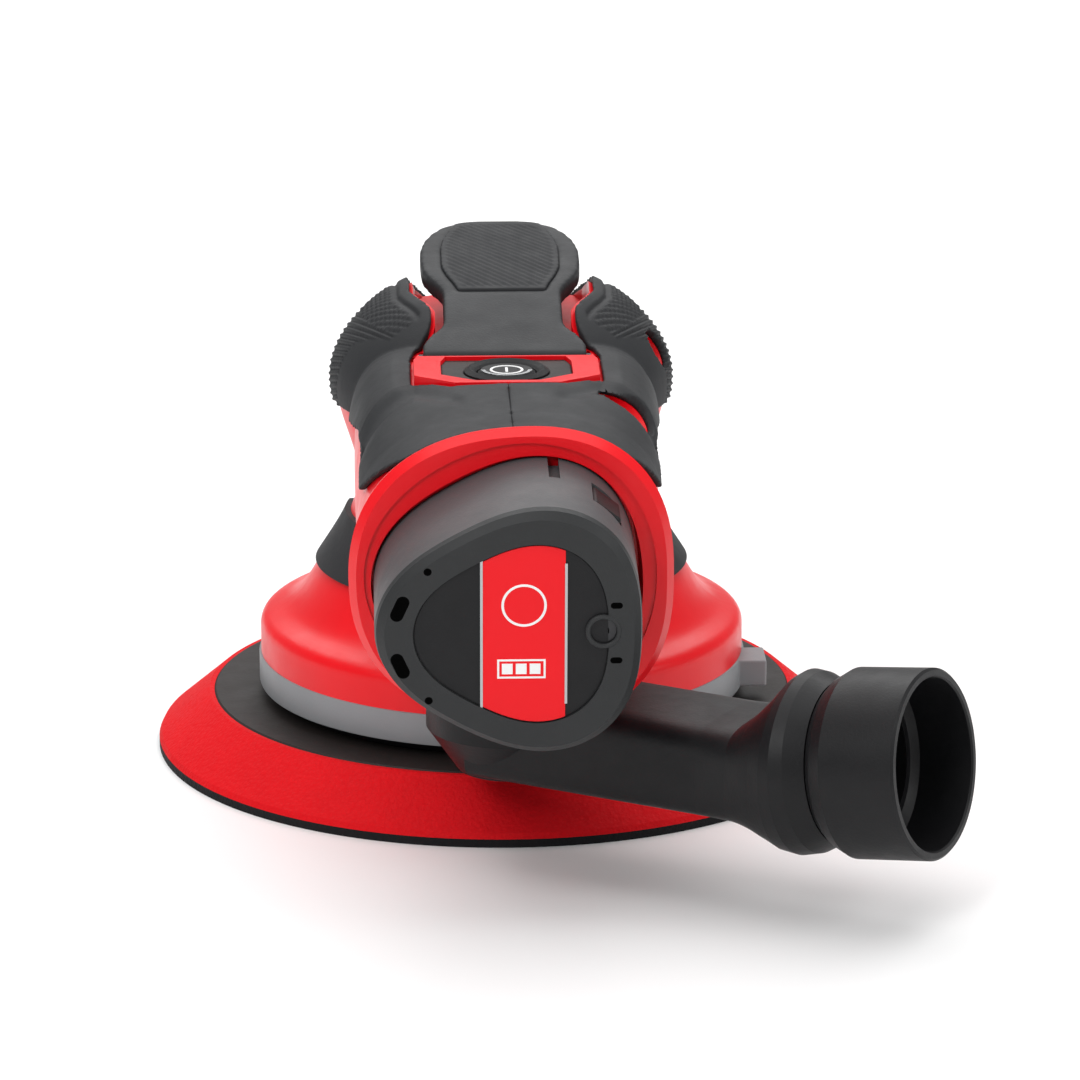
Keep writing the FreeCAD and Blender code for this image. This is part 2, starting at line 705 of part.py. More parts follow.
def make_shroud():
    ring = Part.makeCylinder(size("shroud_radius"), size("shroud_high") - size("shroud_low"),
                             Vector(0, 0, size("shroud_low")))
    inside = Part.makeCylinder(size("shroud_radius") - 1.8, 10, Vector(0, 0, size("shroud_low") - 1))
    lug = block((50, -14, size("shroud_low") + 1), (57, -4, size("shroud_high")))
    slot = block((54, -11.5, size("shroud_low") + 3), (58, -6.5, size("shroud_low") + 5.6))
    feature("shroud", ring.fuse(lug).cut(inside).cut(slot).removeSplitter())

    turned("pad_brake_seal", [
        ("shroud_radius - 5.2", "plate_top + 0.3"),
        ("shroud_radius - 4.0", "plate_top + 0.3"),
        ("shroud_radius - 1.8", "shroud_low"),
        ("shroud_radius - 1.8", "shroud_high - 1"),
        ("shroud_radius - 4.0", "shroud_high - 1"),
        ("shroud_radius - 4.0", "shroud_low + 1"),
    ])


def make_outlet():
    """Dust passage from the fan chamber, ending in the spigot that the chute swivels on."""
    pivot = size("pivot_y")
    spigot = Part.makeCylinder(size("outlet_radius"), 6, Vector(0, pivot, 32.8))
    spigot = spigot.fuse(Part.makeCylinder(size("outlet_radius") + 1.4, 1.8, Vector(0, pivot, 32.8)))
    inner_run = block((-11.4, pivot - 11, 40), (11.4, -30, 43.2))
    inner_drop = block((-11.4, -41.5, 25), (11.4, -30, 43.2))
    inner_spigot = Part.makeCylinder(size("outlet_radius") - 1.6, 12, Vector(0, pivot, 30))
    outlet = outlet_channel(0).fuse(spigot).cut(inner_run).cut(inner_drop).cut(inner_spigot)
    outlet = outlet.common(head_solid(-size("wall")).fuse(block((-20, -95, 20), (20, -40, 60))))
    feature("dust_outlet", max(outlet.Solids, key=lambda solid: solid.Volume))


# ---------------------------------------------------------------- paddle

LEVER_TOP = [(-33.6, 95.7), (-20, 99.9), (-6, 104.0), (8, 106.6), (31.5, 109.6)]
LEVER_UNDER = [(-33.6, 91.6), (-27, 94.9), (-20, 95.8), (-6, 99.8), (8, 102.4), (31.5, 105.4)]
INSET_REAR = -8.5
INSET_SCALE = 0.74


def make_paddle():
    pin_y = size("pin_y")
    pin_z = size("pin_z")
    pin_radius = size("pin_radius")
    plunger_y = size("plunger_y")
    floor = size("well_floor")
    plate = prism_x(LEVER_TOP + LEVER_UNDER[::-1], 30).common(prism_z(lever_outline(0), 80, 120))
    barrel = along_x(3.2, -12, 12, pin_y, pin_z)
    hole = along_x(pin_radius + 0.05, -30, 30, pin_y, pin_z)
    plunger = Part.makeCylinder(1.8, 12, Vector(0, plunger_y, 91.6))
    lever = plate.fuse(barrel).fuse(plunger).cut(hole)

    inset = [(x * INSET_SCALE, y) for x, y in lever_outline(0) if y >= INSET_REAR]
    inset = [(x, min(y, size("lever_front") - 2.5)) for x, y in inset]
    above = [(y, z + 0.3) for y, z in LEVER_TOP]
    below = [(y, z - 0.8) for y, z in reversed(LEVER_TOP)]
    grip = prism_x(above + below, 30).common(prism_z(inset, 80, 120))
    feature("paddle_lever", lever.cut(grip).removeSplitter())
    feature("paddle_grip", grip)
    feature("paddle_pin", along_x(pin_radius, -18, 18, pin_y, pin_z))

    # compression spring round the plunger, between the well's floor and the lever
    wire_radius = 0.4
    coil_radius = 3.0
    foot = Vector(0, plunger_y, floor + wire_radius + 0.05)
    coil = Part.makeHelix(1.6, 7.9, coil_radius)
    coil.translate(foot)
    wire = Part.makeCircle(wire_radius, foot + Vector(coil_radius, 0, 0), Vector(0, 1, 0))
    feature("paddle_spring", Part.Wire(coil.Edges).makePipeShell([Part.Wire([wire])], True, True))

    # start switch, under the plunger
    body = block((-5, plunger_y - 5, 81.8), (5, plunger_y + 5, 86.8))
    button = Part.makeCylinder(1.5, 1.6, Vector(0, plunger_y, 86.6))
    feature("paddle_switch", body.fuse(button).removeSplitter())


# ---------------------------------------------------------------- button panel

def make_panel():
    y = size("panel_y")
    low = size("panel_low")
    high = size("panel_high")
    half_width = size("panel_half_width")
    half_length = size("panel_half_length")
    inner = panel_outline(half_width - 5.6, half_length - 1.7, 5)
    frame = prism_z(panel_outline(half_width, half_length, 6), low, high)
    lever_room = prism_z(lever_outline(0.6), low - 1, high + 5)
    barrel_room = along_x(BARREL_ROOM, -18, 18, size("pin_y"), size("pin_z"))
    pin_room = along_x(size("pin_radius"), -30, 30, size("pin_y"), size("pin_z"))
    frame = frame.cut(prism_z(inner, low - 1, high + 1)).cut(lever_room).cut(barrel_room).cut(pin_room)
    feature("button_frame", max(frame.Solids, key=lambda solid: solid.Volume))

    bezel_hole = Part.makeCylinder(size("bezel_radius"), 20, Vector(0, y, low - 5))
    plate = prism_z(inner, low + 1, high - 0.8).cut(bezel_hole).cut(barrel_room)
    feature("button_plate", max(plate.Solids, key=lambda solid: solid.Volume))

    bezel = turned("button_bezel", [
        ("button_radius + 0.3", "panel_low + 1"),
        ("bezel_radius", "panel_low + 1"),
        ("bezel_radius", "panel_high - 0.5"),
        ("bezel_radius - 1.0", "panel_high + 0.2"),
        ("bezel_radius - 1.9", "panel_high - 0.4"),
        ("button_radius + 0.3", "panel_high - 0.9"),
    ])
    placed(bezel, y="panel_y")
    button = turned("power_button", [
        ("0", "panel_low + 2"),
        ("button_radius", "panel_low + 2"),
        ("button_radius", "panel_high - 0.9"),
        ("button_radius - 0.6", "panel_high - 0.4"),
        ("0", "panel_high - 0.4"),
    ])
    placed(button, y="panel_y")

    # generic on-off mark and a light arc, printed on the button's face
    face = high - 0.4
    mark = ring(3.4, 2.6, face, PRINT_THICKNESS)
    mark.translate(Vector(0, y, 0))
    bar = block((-0.4, y - 1.8, face), (0.4, y + 1.8, face + PRINT_THICKNESS))
    feature("power_symbol", Part.makeCompound([mark, bar]))

    arc = Part.makeCylinder(5.3, PRINT_THICKNESS, Vector(0, 0, face), Vector(0, 0, 1), 170)
    arc = arc.cut(Part.makeCylinder(4.5, 2, Vector(0, 0, face - 1)))
    arc.rotate(Vector(0, 0, 0), Vector(0, 0, 1), 185)
    arc.translate(Vector(0, y, 0))
    feature("light_arc", arc)

    feature("control_board", block((-15, -52, low - 1.6), (15, -36, low)))


# ---------------------------------------------------------------- battery

# lobing of the battery's stem, foot and end panel
STEM_LOBING = 0.06
FOOT_LOBING = 0.075
PANEL_LOBING = 0.08
# the battery's contacts, in its own frame
CONTACT_X = 15.6
CONTACT_ROWS = (-3.4, 0, 3.4)
LATCH_TRAVEL = 1.2


def make_battery():
    place = battery_placement()
    stem_end = -size("stem_length")
    foot = size("foot_radius")
    stem = size("stem_radius")
    length = size("foot_length")
    wall = 1.5
    shoulder = -size("shoulder_depth")
    case = battery_loft([(stem_end, stem, STEM_LOBING), (shoulder, stem, STEM_LOBING)])
    case = case.fuse(battery_loft([(shoulder, foot, FOOT_LOBING), (length - 3, foot, FOOT_LOBING)]))
    cavity = battery_loft([(stem_end + wall, stem - 1.2, STEM_LOBING), (length - 3, stem - 1.2, STEM_LOBING)])
    contact_slots = [
        block((CONTACT_X - 2.4, y - 0.8, stem_end - 1), (CONTACT_X + 2.4, y + 0.8, stem_end + 3))
        for y in CONTACT_ROWS
    ]
    latch_pockets = [latch_box(side, 0.4, LATCH_TRAVEL + 0.4) for side in (1, -1)]
    case = case.cut(cavity).cut(contact_slots).cut(latch_pockets)
    key_slot = Part.makeBox(2.2, 4, 12, Vector(6.4, foot * 0.9, shoulder - 0.5))
    case = case.cut(key_slot)
    feature("battery_case", max(case.Solids, key=lambda solid: solid.Volume), place)

    cap = battery_loft([(length - 3, foot, FOOT_LOBING), (length - 1.5, foot - 0.3, FOOT_LOBING)])
    cap = cap.fuse(battery_loft([(length - 1.5, foot - 0.3, FOOT_LOBING), (length, foot - 1.8, FOOT_LOBING)]))
    panel = battery_loft([(length - 0.8, foot - 7, PANEL_LOBING), (length + 1, foot - 7, PANEL_LOBING)])
    cap = cap.cut(panel)
    screw_place = Vector(16.4, 0.5, 0)
    counterbore = Part.makeCylinder(2.6, 3, screw_place + Vector(0, 0, length - 2.2))
    shank_hole = Part.makeCylinder(1.3, 10, screw_place + Vector(0, 0, length - 6))
    cap = cap.cut(counterbore).cut(shank_hole)
    feature("battery_end_cap", max(cap.Solids, key=lambda solid: solid.Volume), place)

    label = battery_loft([(length - 0.8, foot - 7.3, PANEL_LOBING), (length - 0.3, foot - 7.3, PANEL_LOBING)])
    label = label.common(Part.makeBox(16, 60, 10, Vector(-7, -30, length - 5)))
    feature("battery_label", label.Solids[0], place)

    head = Part.makeCylinder(2.5, 1.6, screw_place + Vector(0, 0, length - 2.2))
    shank = Part.makeCylinder(1.2, 4, screw_place + Vector(0, 0, length - 6))
    socket = Part.makeCylinder(1.1, 2, screw_place + Vector(0, 0, length - 1.6))
    feature("battery_screw", head.fuse(shank).cut(socket).removeSplitter(), place)

    cells = []
    spread = size("cell_radius") * 1.17
    for number in range(3):
        turn = math.radians(180 + 120 * number)
        base = Vector(spread * math.cos(turn), spread * math.sin(turn), stem_end + wall + 0.1)
        cells.append(Part.makeCylinder(size("cell_radius"), size("cell_length"), base))
    feature("battery_cells", Part.makeCompound(cells), place)

    for label, side in (("battery_latch_upper", 1), ("battery_latch_lower", -1)):
        latch = latch_box(side, 0, 0)
        feature(label, latch.makeFillet(0.8, latch.Edges), place)

    # spring contacts in the battery, and the housing's blades between their leaves
    contacts = []
    blades = []
    for y in CONTACT_ROWS:
        low = stem_end + wall
        leaves = [
            block((CONTACT_X - 2.2, y - 1.2, low), (CONTACT_X + 2.2, y - 0.8, low + 9)),
            block((CONTACT_X - 2.2, y + 0.8, low), (CONTACT_X + 2.2, y + 1.2, low + 9)),
            block((CONTACT_X - 2.2, y - 1.2, low + 8.6), (CONTACT_X + 2.2, y + 1.2, low + 9)),
        ]
        contacts.append(leaves[0].fuse(leaves[1:]).removeSplitter())
        blade_low = (CONTACT_X - 1.8, y - 0.3, stem_end - 1.5)
        blades.append(block(blade_low, (CONTACT_X + 1.8, y + 0.3, stem_end + 7)))
    feature("battery_contacts", Part.makeCompound(contacts), place)

    carrier = battery_loft([(stem_end - 3.4, 22.6, STEM_LOBING), (stem_end - 1, 22.6, STEM_LOBING)])
    carrier = carrier.common(block((-30, -30, stem_end - 6), (30, 8, stem_end)))
    feature("terminal_block", carrier.fuse(blades).removeSplitter(), place)


def latch_box(side, grow, room_inward):
    """A latch button on the side of the foot, above or below the battery's middle."""
    middle = Vector(15.7, 17.4 * side, 0)
    inner = 1.5 + grow + room_inward
    outer = 3.5 + grow
    low_y = -inner if side > 0 else -outer
    corner = middle + Vector(-3.5 - grow, low_y, 4 - grow)
    latch = Part.makeBox(7 + 2 * grow, inner + outer, 9 + 2 * grow, corner)
    latch.rotate(middle, Vector(0, 0, 1), -38 * side)
    return latch


# ---------------------------------------------------------------- dust chute

def duct_loop(x, centre, half_width, half_height, power, lean=0, count=32):
    """A rounded rectangle, or an ellipse when power is 2, across the duct, leaning back by lean degrees."""
    points = []
    for number in range(count):
        turn = 2 * math.pi * (number + 0.5) / count
        cosine = math.cos(turn)
        sine = math.sin(turn)
        across = math.copysign(abs(cosine) ** (2 / power), cosine) * half_width
        up = math.copysign(abs(sine) ** (2 / power), sine) * half_height
        points.append(Vector(x, across, centre + up))
    loop = smooth_loop(points)
    loop.rotate(Vector(x, 0, centre), Vector(0, 1, 0), -lean)
    return loop


def duct_solid(inset, ends):
    """The duct, flare and bell, moved in by inset and running past its ends by ends."""
    low = size("duct_low")
    high = size("duct_high")
    half = size("duct_half_width") - inset
    tall = (high - low) / 2 - inset
    middle = (high + low) / 2
    bell = size("bell_radius") - inset
    far = size("bell_distance")
    lift = size("bell_height")
    groove = size("groove_distance")
    tilt = size("cuff_tilt")
    rise = math.tan(math.radians(tilt))
    end = size("groove_radius") - inset
    sections = [
        duct_loop(-3 - ends, middle, half, tall, 6),
        duct_loop(50, middle, half + 0.2, tall, 5),
        duct_loop(57, middle + 0.1, half + 1.2, tall + 0.4, 4),
        duct_loop(60, middle + 0.7, half + 2.1, tall + 2.4, 3),
        duct_loop(63, middle + 1.4, half + 3.0, tall + 5.2, 2.5),
        duct_loop(66, lift - 0.3, bell - 0.5, bell - 0.9, 2.1, 0.3 * tilt),
        duct_loop(far, lift, bell, bell, 2, 0.6 * tilt),
        duct_loop(far + 3, lift + 3 * rise, bell - 0.5, bell - 0.5, 2, 0.9 * tilt),
        duct_loop(groove + ends, lift + rise * (groove - far), end, end, 2, tilt),
    ]
    return Part.makeLoft(sections, True, True)


def cuff_frame():
    """Placement of the cuff's base on the chute's own axis, local z pointing out."""
    rise = math.tan(math.radians(size("cuff_tilt")))
    lift = size("bell_height") + rise * (size("groove_distance") - size("bell_distance"))
    rotation = FreeCAD.Rotation(Vector(0, 1, 0), 90 - size("cuff_tilt"))
    return FreeCAD.Placement(Vector(size("groove_distance"), 0, lift), rotation)


def make_chute():
    wall = size("duct_wall")
    low = size("duct_low")
    high = size("duct_high")
    swing = FreeCAD.Placement(
        Vector(0, size("pivot_y"), 0), FreeCAD.Rotation(Vector(0, 0, 1), size("chute_angle")))
    drum_low = size("drum_low")
    drum_radius = size("drum_radius")
    bottom_radius = 11.0
    inner_low = drum_low + 0.4
    inner_radius = drum_radius - wall
    drum = Part.makeCylinder(drum_radius, high - drum_low, Vector(0, 0, drum_low))
    drum = drum.fuse(Part.makeCone(bottom_radius, drum_radius, drum_low - low, Vector(0, 0, low)))
    drum_inside = Part.makeCylinder(inner_radius, high - wall - inner_low, Vector(0, 0, inner_low))
    drum_inside = drum_inside.fuse(
        Part.makeCone(bottom_radius - 1.4, inner_radius, inner_low - low - wall, Vector(0, 0, low + wall)))
    spigot = Part.makeCylinder(size("spigot_radius"), 8.5, Vector(0, 0, -0.5))
    spigot.Placement = cuff_frame()
    passage = Part.makeCylinder(size("spigot_radius") - 1.6, 12, Vector(0, 0, -2))
    passage.Placement = cuff_frame()
    outside = duct_solid(0, 0).fuse(drum).fuse(spigot)
    inside = duct_solid(wall, 0.01).fuse(drum_inside)
    neck_hole = Part.makeCylinder(size("outlet_radius") + 0.3, 8, Vector(0, 0, high - 4))
    chute = outside.cut(inside).cut(passage).cut(neck_hole)
    feature("dust_chute", max(chute.Solids, key=lambda solid: solid.Volume), swing)

    cuff = turned("hose_cuff", [
        ("spigot_radius + 0.08", "0.3"),
        ("groove_radius", "0.3"),
        ("cuff_radius - 1.6", "1.6"),
        ("cuff_radius", "4.6"),
        ("cuff_radius", "cuff_length - 0.5"),
        ("cuff_radius - 0.5", "cuff_length"),
        ("cuff_bore + 0.3", "cuff_length"),
        ("cuff_bore", "cuff_length - 0.4"),
        ("cuff_bore", "9"),
        ("spigot_radius + 0.08", "7.6"),
    ])
    cuff.Placement = swing.multiply(cuff_frame())


make_pad()
make_drive()
make_housing()
make_liner()
make_shroud()
make_outlet()
make_paddle()
make_panel()
make_battery()
make_chute()
document.recompute()


# ---------------------------------------------------------------- checks and files

problems = []
for thing in document.Objects:
    if "Invalid" in thing.State or "Error" in thing.State:
        problems.append(f"{thing.Name}: {thing.State}")
for subpart in subparts:
    shape = subpart.Shape
    if shape.isNull() or not shape.isValid():
        problems.append(f"{subpart.Label}: no valid shape")
    elif shape.Volume <= 0:
        problems.append(f"{subpart.Label}: volume {shape.Volume}")
if problems:
    raise ValueError("; ".join(problems))

os.makedirs("parts", exist_ok=True)
for subpart in subparts:
    subpart.Shape.exportStep(f"parts/{subpart.Label}.step")
    limits = subpart.Shape.BoundBox
    print(f"{subpart.Label:22s} solids {len(subpart.Shape.Solids)}  volume {subpart.Shape.Volume:9.0f}"
          f"  x {limits.XMin:7.1f} {limits.XMax:7.1f}  y {limits.YMin:7.1f} {limits.YMax:7.1f}"
          f"  z {limits.ZMin:6.1f} {limits.ZMax:6.1f}")
print(len(subparts), "sub-parts")
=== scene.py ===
import bpy
import json
import math
import numpy as np
from mathutils import Matrix, Vector


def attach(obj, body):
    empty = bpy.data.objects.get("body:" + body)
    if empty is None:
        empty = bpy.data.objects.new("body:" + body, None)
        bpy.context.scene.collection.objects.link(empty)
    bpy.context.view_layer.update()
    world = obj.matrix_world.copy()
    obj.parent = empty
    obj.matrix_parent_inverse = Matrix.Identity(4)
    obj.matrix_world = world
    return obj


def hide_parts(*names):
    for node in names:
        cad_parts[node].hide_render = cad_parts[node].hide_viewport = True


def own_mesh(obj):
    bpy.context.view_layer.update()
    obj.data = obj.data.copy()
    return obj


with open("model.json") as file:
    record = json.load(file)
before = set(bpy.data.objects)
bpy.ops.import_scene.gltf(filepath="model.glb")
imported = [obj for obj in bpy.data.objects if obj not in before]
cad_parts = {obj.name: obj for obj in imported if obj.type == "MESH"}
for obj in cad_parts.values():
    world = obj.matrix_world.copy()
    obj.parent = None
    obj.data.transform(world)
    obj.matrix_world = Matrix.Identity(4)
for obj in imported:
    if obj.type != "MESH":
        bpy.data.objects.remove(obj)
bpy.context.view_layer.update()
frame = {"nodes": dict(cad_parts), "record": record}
nodes = frame["nodes"]

# the outlines below are in millimetres, and the scene is in metres
MM = 0.001

# linear colours of the finished surfaces
RED = (0.78, 0.002, 0.008)
CHARCOAL = (0.022, 0.023, 0.025)
DEEP_BLACK = (0.007, 0.007, 0.008)
BATTERY_GREY = (0.070, 0.072, 0.075)
BATTERY_DARK = (0.024, 0.025, 0.026)
SHROUD_GREY = (0.24, 0.25, 0.26)
DISC_BROWN = (0.020, 0.016, 0.015)
FOAM_RED = (0.68, 0.003, 0.008)
SILVER = (0.45, 0.46, 0.47)
WHITE = (0.82, 0.82, 0.82)


# ---------------------------------------------------------------- materials

class Shader:
    """A small builder round one material's node tree."""

    def __init__(self, name):
        self.material = bpy.data.materials.new(name)
        self.material.use_nodes = True
        self.tree = self.material.node_tree
        self.surface = self.tree.nodes["Principled BSDF"]
        self.place = self.node("ShaderNodeTexCoord").outputs["Object"]

    def node(self, kind, **settings):
        made = self.tree.nodes.new(kind)
        for key, value in settings.items():
            setattr(made, key, value)
        return made

    def link(self, source, target):
        self.tree.links.new(source, target)

    def noise(self, size, detail=3.0, roughness=0.55):
        """Noise whose features are about size metres across."""
        made = self.node("ShaderNodeTexNoise")
        made.inputs["Scale"].default_value = 1.0 / size
        made.inputs["Detail"].default_value = detail
        made.inputs["Roughness"].default_value = roughness
        self.link(self.place, made.inputs["Vector"])
        return made.outputs["Fac"]

    def cells(self, size):
        made = self.node("ShaderNodeTexVoronoi")
        made.inputs["Scale"].default_value = 1.0 / size
        self.link(self.place, made.inputs["Vector"])
        return made.outputs["Distance"]

    def span(self, value, low, high, start=0.0, end=1.0):
        """value mapped from start..end to low..high."""
        made = self.node("ShaderNodeMapRange")
        made.inputs["From Min"].default_value = start
        made.inputs["From Max"].default_value = end
        made.inputs["To Min"].default_value = low
        made.inputs["To Max"].default_value = high
        self.link(value, made.inputs["Value"])
        return made.outputs["Result"]

    def blend(self, factor, first, second):
        made = self.node("ShaderNodeMix", data_type="RGBA")
        self.link(factor, made.inputs["Factor"])
        made.inputs["A"].default_value = (*first, 1)
        made.inputs["B"].default_value = (*second, 1)
        return made.outputs["Result"]

    def total(self, first, second):
        made = self.node("ShaderNodeMath", operation="ADD")
        self.link(first, made.inputs[0])
        self.link(second, made.inputs[1])
        return made.outputs["Value"]

    def bump(self, height, depth):
        """height of 0..1 raised by depth metres."""
        made = self.node("ShaderNodeBump")
        made.inputs["Distance"].default_value = depth
        made.inputs["Strength"].default_value = 1.0
        self.link(height, made.inputs["Height"])
        self.link(made.outputs["Normal"], self.surface.inputs["Normal"])


def shade(colour, factor):
    return tuple(min(1.0, channel * factor) for channel in colour)


def moulded(name, colour, roughness, grain, depth, spread=0.06, vary=0.08, shine=0.25):
    """Moulded plastic: spark-eroded grain, faint mottling, and patchy sheen."""
    shader = Shader(name)
    mottle = shader.noise(0.018, 4)
    shader.link(
        shader.blend(mottle, shade(colour, 1 - vary), shade(colour, 1 + vary)),
        shader.surface.inputs["Base Color"])
    patches = shader.noise(0.007, 5, 0.65)
    shader.link(
        shader.span(patches, roughness - spread, roughness + spread, 0.3, 0.7),
        shader.surface.inputs["Roughness"])
    shader.bump(shader.noise(grain, 2), depth)
    shader.surface.inputs["Specular IOR Level"].default_value = shine
    return shader.material


def foam(name, colour):
    """Closed-cell foam: packed small cells with a dull skin."""
    shader = Shader(name)
    cells = shader.cells(0.0009)
    shader.link(
        shader.blend(shader.noise(0.012, 4), shade(colour, 0.9), shade(colour, 1.08)),
        shader.surface.inputs["Base Color"])
    shader.link(shader.span(cells, 0.62, 0.8), shader.surface.inputs["Roughness"])
    shader.bump(shader.total(cells, shader.noise(0.0004)), 0.00012)
    shader.surface.inputs["Specular IOR Level"].default_value = 0.15
    return shader.material


def metal(name, colour, roughness, grain=0.0012):
    shader = Shader(name)
    shader.surface.inputs["Metallic"].default_value = 1.0
    scratches = shader.noise(grain, 6, 0.7)
    shader.link(
        shader.blend(scratches, shade(colour, 0.85), shade(colour, 1.1)),
        shader.surface.inputs["Base Color"])
    shader.link(
        shader.span(scratches, roughness - 0.08, roughness + 0.1, 0.3, 0.7),
        shader.surface.inputs["Roughness"])
    shader.bump(scratches, 0.00001)
    return shader.material


MATERIALS = {
    "red": moulded("red_plastic", RED, 0.34, 0.0005, 0.000015, shine=0.3),
    "grip": moulded("soft_grip", CHARCOAL, 0.62, 0.00045, 0.00004),
    "lever": moulded("lever_plastic", shade(CHARCOAL, 0.95), 0.55, 0.0005, 0.00004),
    "chute": moulded("chute_plastic", DEEP_BLACK, 0.45, 0.0006, 0.00003),
    "battery": moulded("battery_grey", BATTERY_GREY, 0.5, 0.0005, 0.00004),
    "battery_dark": moulded("battery_dark", BATTERY_DARK, 0.5, 0.0005, 0.00004),
    "shroud": moulded("shroud_grey", SHROUD_GREY, 0.5, 0.0005, 0.00003),
    "disc": moulded("disc_plate", DISC_BROWN, 0.55, 0.0006, 0.00003),
    "black": moulded("black_plastic", DEEP_BLACK, 0.5, 0.0005, 0.00003),
    # painted shade: a dull near-black sheet stands in for the dark inside of the vent openings
    "slot_shade": moulded("painted_slot_shade", (0.001, 0.001, 0.001), 0.9, 0.0005, 0.00001, shine=0.02),
    "silver": metal("silver_trim", SILVER, 0.35),
    "white": moulded("white_print", WHITE, 0.5, 0.0004, 0.00001),
    "label": moulded("label_film", RED, 0.4, 0.0008, 0.00001, vary=0.03),
    "steel": metal("machined_steel", (0.55, 0.55, 0.56), 0.3),
    "dark_steel": metal("black_oxide", (0.05, 0.05, 0.052), 0.4),
    "aluminium": metal("cast_aluminium", (0.6, 0.6, 0.61), 0.45),
    "brass": metal("contact_brass", (0.75, 0.55, 0.25), 0.3),
    "foam": foam("red_foam", FOAM_RED),
    "hooks": moulded("hook_fabric", DEEP_BLACK, 0.8, 0.0008, 0.0003),
    "board": moulded("board_laminate", (0.01, 0.09, 0.03), 0.4, 0.0005, 0.00002),
    "cells": moulded("cell_wrap", (0.03, 0.12, 0.07), 0.3, 0.0008, 0.00001),
}

NODE_MATERIALS = {
    "hook_layer": "hooks", "foam_cushion": "foam", "backing_plate": "disc",
    "pad_hub": "steel", "pad_screws": "dark_steel", "motor_shaft": "steel",
    "rotor": "steel", "stator": "steel", "upper_bearing": "steel", "lower_bearing": "steel",
    "bearing_plate": "aluminium", "pad_bearing": "steel", "eccentric_fan": "aluminium",
    "housing_right": "red", "housing_left": "red", "grip_right": "grip", "grip_left": "grip",
    "side_bumper_right": "grip", "side_bumper_left": "grip", "housing_screws": "dark_steel",
    "battery_liner": "red", "shroud": "shroud", "pad_brake_seal": "black",
    "dust_outlet": "black", "paddle_lever": "lever", "paddle_grip": "grip",
    "paddle_pin": "dark_steel", "paddle_spring": "steel", "paddle_switch": "black",
    "button_frame": "red", "button_plate": "disc", "button_bezel": "black",
    "power_button": "black", "power_symbol": "white", "light_arc": "silver",
    "control_board": "board", "battery_case": "battery", "battery_end_cap": "battery_dark",
    "battery_label": "label", "battery_screw": "dark_steel", "battery_cells": "cells",
    "battery_contacts": "brass", "terminal_block": "black", "battery_latch_upper": "black",
    "battery_latch_lower": "black", "dust_chute": "chute", "hose_cuff": "chute",
}


def dress(thing, material):
    thing.data.materials.clear()
    thing.data.materials.append(MATERIALS[material])


for name, material in NODE_MATERIALS.items():
    dress(nodes[name], material)


# ---------------------------------------------------------------- shaping helpers

def body_of(node):
    for body, members in frame["record"]["behaviour"]["bodies"].items():
        if node in members:
            return body
    raise ValueError(node)


def add_piece(name, mesh, material, body, replaced=()):
    """A new visible piece that rides on a body."""
    thing = bpy.data.objects.new(name, mesh)
    bpy.context.scene.collection.objects.link(thing)
    dress(thing, material)
    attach(thing, body)
    for node in replaced:
        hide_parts(node)
    return thing


def applied(thing):
    """The mesh of thing with its modifiers applied."""
    depsgraph = bpy.context.evaluated_depsgraph_get()
    return bpy.data.meshes.new_from_object(thing.evaluated_get(depsgraph))


def remeshed(node, voxel, smoothing):
    """A CAD node's shape as an even mesh with softened edges."""
    source = bpy.data.objects.new("source", nodes[node].data.copy())
    bpy.context.scene.collection.objects.link(source)
    remesh = source.modifiers.new("even", "REMESH")
    remesh.mode = "VOXEL"
    remesh.voxel_size = voxel
    smooth = source.modifiers.new("soft", "SMOOTH")
    smooth.factor = 0.5
    smooth.iterations = smoothing
    bpy.context.view_layer.update()
    mesh = applied(source)
    bpy.data.objects.remove(source)
    mesh.polygons.foreach_set("use_smooth", [True] * len(mesh.polygons))
    return mesh


def points_and_normals(mesh):
    """Vertex places in millimetres, and their normals, as arrays."""
    count = len(mesh.vertices)
    points = np.zeros(count * 3)
    normals = np.zeros(count * 3)
    mesh.vertices.foreach_get("co", points)
    mesh.vertices.foreach_get("normal", normals)
    return points.reshape(count, 3) / MM, normals.reshape(count, 3)


def set_points(mesh, points):
    mesh.vertices.foreach_set("co", (points * MM).ravel())
    mesh.update()


def ramp(value, start, end):
    """A smooth step from 0 at start to 1 at end."""
    t = np.clip((value - start) / (end - start), 0, 1)
    return t * t * (3 - 2 * t)


def triangle_wave(value, pitch):
    """0 in the grooves and 1 on the ridges, one ridge for each pitch."""
    return 1 - np.abs(2 * (value / pitch - np.floor(value / pitch)) - 1)


def distance_to_outline(x, y, corners):
    """Distance in plan from each point to a closed outline, negative inside it."""
    nearest = np.full(len(x), 1e9)
    inside = np.zeros(len(x), bool)
    for (ax, ay), (bx, by) in zip(corners, corners[1:] + corners[:1]):
        dx = bx - ax
        dy = by - ay
        along = np.clip(((x - ax) * dx + (y - ay) * dy) / (dx * dx + dy * dy), 0, 1)
        nearest = np.minimum(nearest, np.hypot(x - ax - along * dx, y - ay - along * dy))
        crosses = (ay > y) != (by > y)
        edge_x = ax + (y - ay) * dx / (dy if dy else 1e-9)
        inside ^= crosses & (x < edge_x)
    return np.where(inside, -nearest, nearest)


# ---------------------------------------------------------------- overmoulded grips

